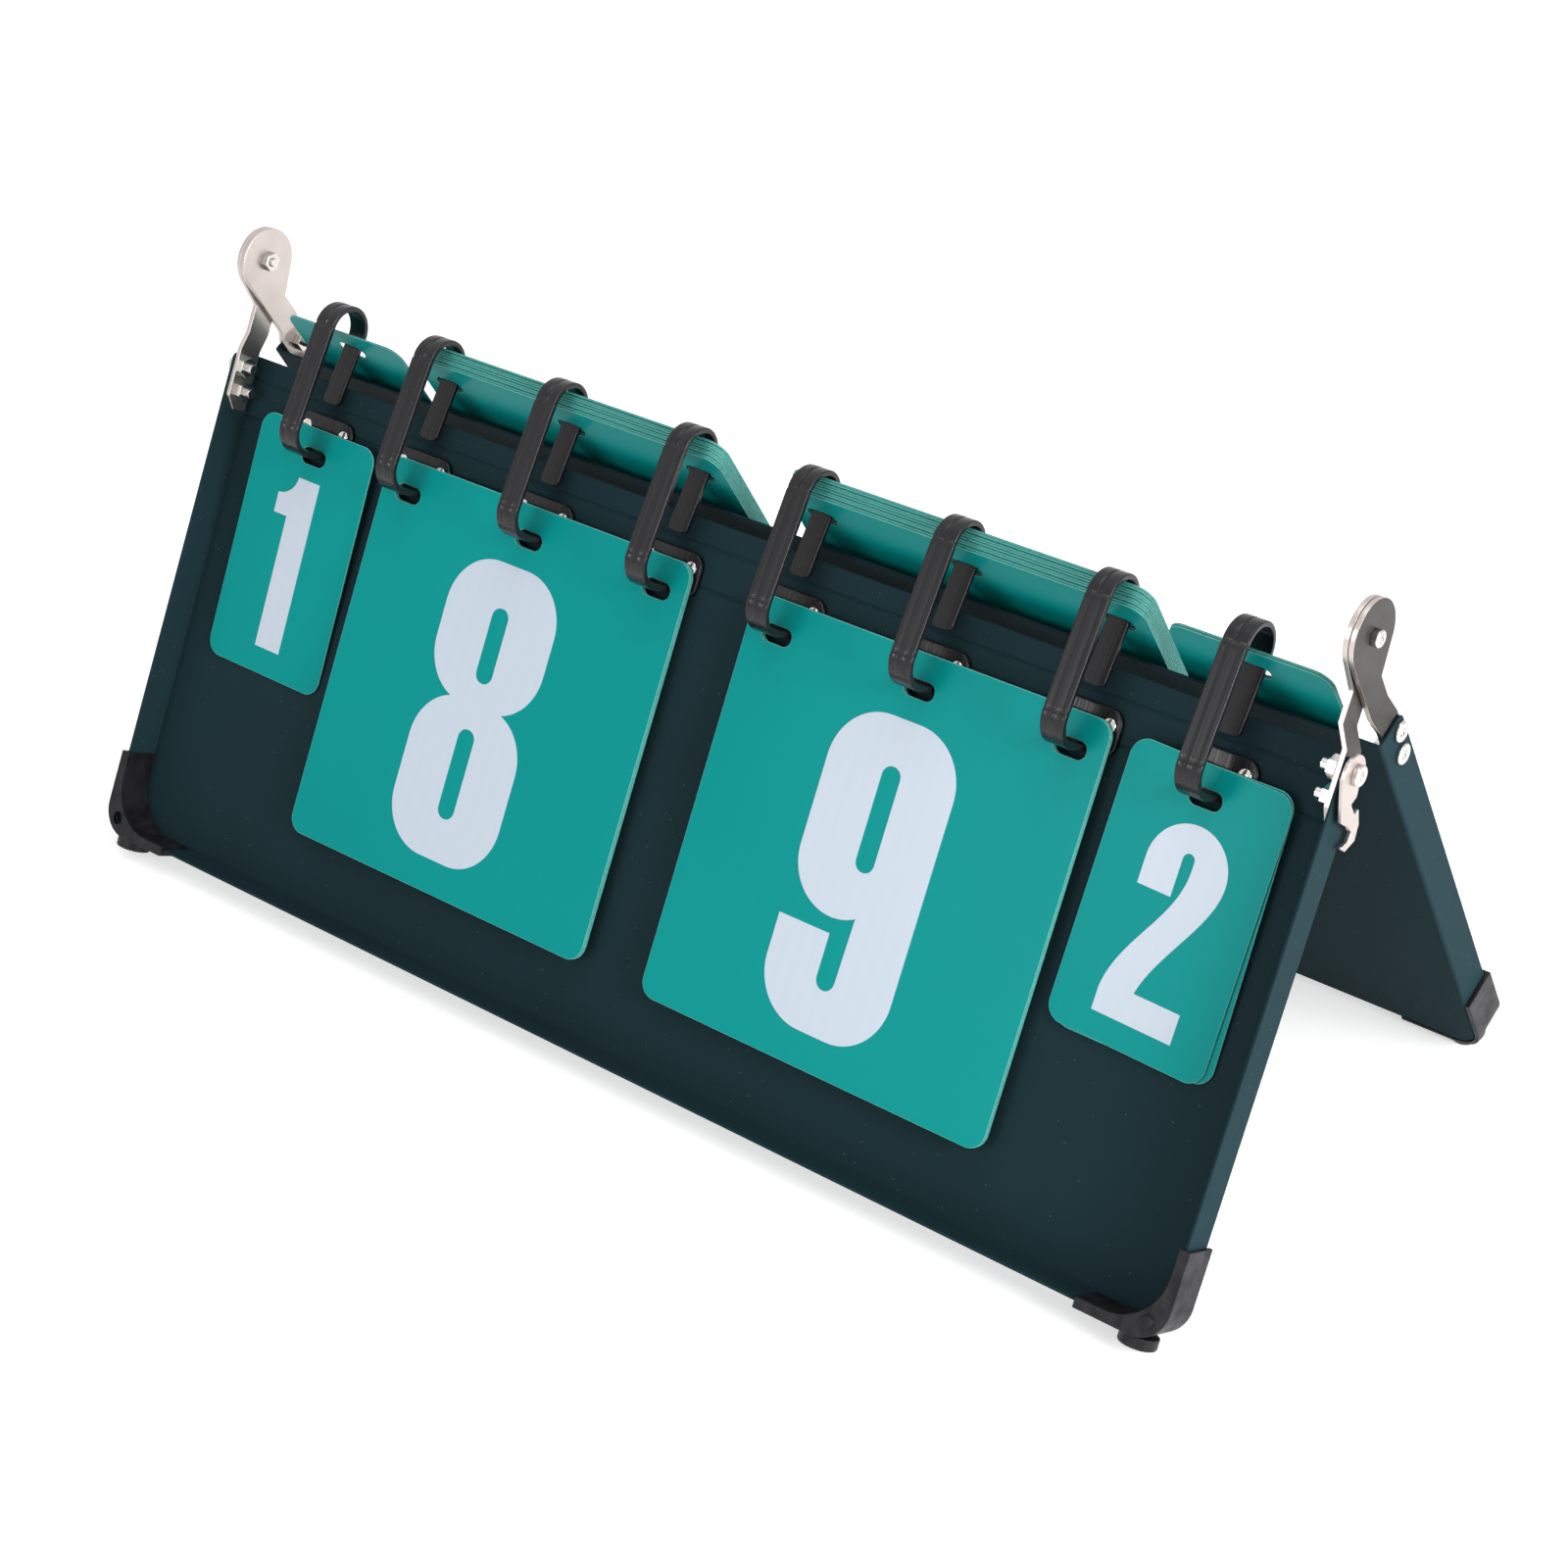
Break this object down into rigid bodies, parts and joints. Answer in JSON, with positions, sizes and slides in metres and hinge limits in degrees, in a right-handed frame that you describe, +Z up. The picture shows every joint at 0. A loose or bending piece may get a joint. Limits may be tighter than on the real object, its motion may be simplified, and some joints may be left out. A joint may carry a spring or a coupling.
{
  "type": "tabletop flip scoreboard",
  "caption": "Folding metal tabletop scoreboard: two hinged trays stand as an A-frame and number cards flip over rings along the top.",
  "frame": {"origin": "on the table, at the middle of the footprint", "axes": "+X along the board to the right of someone reading the front tray, -Y towards that reader, +Z up"},
  "size_m": [0.3902, 0.1734, 0.1769],
  "materials": {
    "tray_paint": "dark blue-green powder coat, satin",
    "cap_plastic": "black moulded plastic",
    "ring_plastic": "black moulded plastic, satin",
    "hinge_steel": "nickel-plated sheet steel",
    "latch_steel": "nickel-plated sheet steel",
    "screw_steel": "bright nickel plate",
    "rivet_metal": "bright nickel plate",
    "card_sheet": "teal plastic sheet"
  },
  "bodies": {
    "front_frame": {"front_panel": "tray_paint", "corner_cap_front_left": "cap_plastic", "hinge_arm_front_left": "hinge_steel", "corner_cap_front_right": "cap_plastic", "hinge_arm_front_right": "hinge_steel", "arm_screws_front": "screw_steel", "arm_nuts_front": "screw_steel", "pivot_screw_right": "screw_steel", "pivot_nut_right": "screw_steel", "pivot_screw_left": "screw_steel", "pivot_nut_left": "screw_steel", "latch_screw": "screw_steel", "latch_spacer": "screw_steel", "card_ring_1": "ring_plastic", "card_ring_2": "ring_plastic", "card_ring_3": "ring_plastic", "card_ring_4": "ring_plastic", "card_ring_5": "ring_plastic", "card_ring_6": "ring_plastic", "card_ring_7": "ring_plastic", "card_ring_8": "ring_plastic", "ring_rivets": "rivet_metal"},
    "rear_frame": {"rear_panel": "tray_paint", "corner_cap_rear_right": "cap_plastic", "hinge_arm_rear_right": "hinge_steel", "corner_cap_rear_left": "cap_plastic", "hinge_arm_rear_left": "hinge_steel", "arm_screws_rear": "screw_steel", "arm_nuts_rear": "screw_steel"},
    "latch": {"latch_hook": "latch_steel"},
    "shown_small_left": {"card_shown_small_left": "card_sheet"},
    "turned_small_left": {"cards_turned_small_left": "card_sheet"},
    "shown_big_left": {"card_shown_big_left": "card_sheet"},
    "waiting_big_left": {"cards_waiting_big_left": "card_sheet"},
    "turned_big_left": {"cards_turned_big_left": "card_sheet"},
    "shown_big_right": {"card_shown_big_right": "card_sheet"},
    "waiting_big_right": {"cards_waiting_big_right": "card_sheet"},
    "turned_big_right": {"cards_turned_big_right": "card_sheet"},
    "shown_small_right": {"card_shown_small_right": "card_sheet"},
    "waiting_small_right": {"cards_waiting_small_right": "card_sheet"},
    "turned_small_right": {"cards_turned_small_right": "card_sheet"}
  },
  "joints": [
    {"name": "fold", "type": "hinge", "parent": "front_frame", "child": "rear_frame", "pos_m": [0, 0, 0.16717], "axis": [1, 0, 0], "range_deg": [-7, 123.16]},
    {"name": "latch_turn", "type": "hinge", "parent": "front_frame", "child": "latch", "pos_m": [0.1944, -0.01182, 0.1365], "axis": [1, 0, 0], "continuous": true},
    {"name": "lift_shown_small_left", "type": "hinge", "parent": "front_frame", "child": "shown_small_left", "pos_m": [-0.1567, -0.01339, 0.12939], "axis": [-1, 0, 0], "range_deg": [0, 90]},
    {"name": "turned_swing_small_left", "type": "hinge", "parent": "front_frame", "child": "turned_small_left", "pos_m": [-0.1567, -0.00128, 0.15313], "axis": [1, 0, 0], "range_deg": [-8.64, 150.36]},
    {"name": "lift_waiting_big_left", "type": "hinge", "parent": "front_frame", "child": "waiting_big_left", "pos_m": [-0.0691, -0.01339, 0.12939], "axis": [-1, 0, 0], "range_deg": [0, 40]},
    {"name": "lift_shown_big_left", "type": "hinge", "parent": "waiting_big_left", "child": "shown_big_left", "pos_m": [-0.0691, -0.01339, 0.12939], "axis": [-1, 0, 0], "range_deg": [0, 50]},
    {"name": "turned_swing_big_left", "type": "hinge", "parent": "front_frame", "child": "turned_big_left", "pos_m": [-0.0691, -0.00128, 0.15313], "axis": [1, 0, 0], "range_deg": [-8.64, 150.36]},
    {"name": "lift_waiting_big_right", "type": "hinge", "parent": "front_frame", "child": "waiting_big_right", "pos_m": [0.0691, -0.01339, 0.12939], "axis": [-1, 0, 0], "range_deg": [0, 40]},
    {"name": "lift_shown_big_right", "type": "hinge", "parent": "waiting_big_right", "child": "shown_big_right", "pos_m": [0.0691, -0.01339, 0.12939], "axis": [-1, 0, 0], "range_deg": [0, 50]},
    {"name": "turned_swing_big_right", "type": "hinge", "parent": "front_frame", "child": "turned_big_right", "pos_m": [0.0691, -0.00128, 0.15313], "axis": [1, 0, 0], "range_deg": [-8.64, 150.36]},
    {"name": "lift_waiting_small_right", "type": "hinge", "parent": "front_frame", "child": "waiting_small_right", "pos_m": [0.1567, -0.01339, 0.12939], "axis": [-1, 0, 0], "range_deg": [0, 40]},
    {"name": "lift_shown_small_right", "type": "hinge", "parent": "waiting_small_right", "child": "shown_small_right", "pos_m": [0.1567, -0.01339, 0.12939], "axis": [-1, 0, 0], "range_deg": [0, 50]},
    {"name": "turned_swing_small_right", "type": "hinge", "parent": "front_frame", "child": "turned_small_right", "pos_m": [0.1567, -0.00128, 0.15313], "axis": [1, 0, 0], "range_deg": [-8.64, 150.36]}
  ],
  "couplings": [
    {"joint": "turned_swing_small_left", "follows": "fold", "ratio": 1.22},
    {"joint": "turned_swing_big_left", "follows": "fold", "ratio": 1.22},
    {"joint": "turned_swing_big_right", "follows": "fold", "ratio": 1.22},
    {"joint": "turned_swing_small_right", "follows": "fold", "ratio": 1.22}
  ]
}
